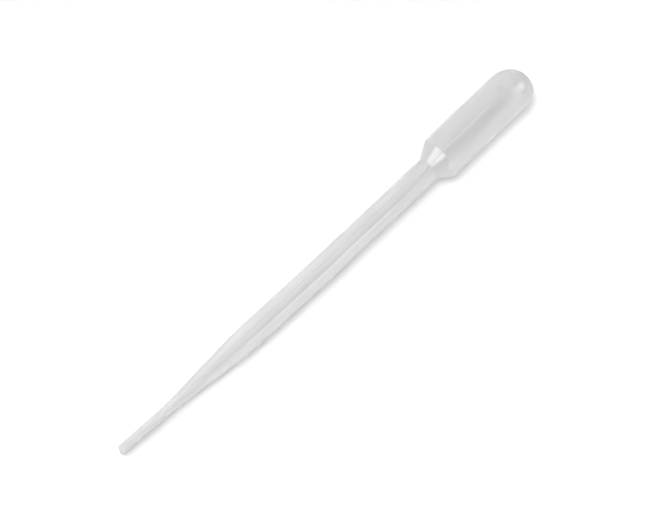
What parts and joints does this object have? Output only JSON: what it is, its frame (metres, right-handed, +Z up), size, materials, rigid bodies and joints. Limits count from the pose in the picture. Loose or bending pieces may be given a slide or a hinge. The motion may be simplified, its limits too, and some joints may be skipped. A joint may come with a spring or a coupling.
{
  "type": "dropper pipette",
  "caption": "One-piece blow-moulded dropper pipette: fine open tip, taper, straight stem and round-ended squeeze bulb, lying on its side.",
  "frame": {"origin": "on the surface it lies on, under the middle of its box", "axes": "+X from the tip's mouth to the bulb's end, in plan; +Z up, away from the surface it lies on; +Y the side that the slight bow leans to"},
  "size_m": [0.155, 0.013, 0.0138],
  "materials": {
    "milky_plastic": "milky, see-through, soft and faintly scuffed low-density polyethylene, half-gloss from the mould"
  },
  "bodies": {
    "root": {"pipette": "milky_plastic"}
  },
  "joints": []
}
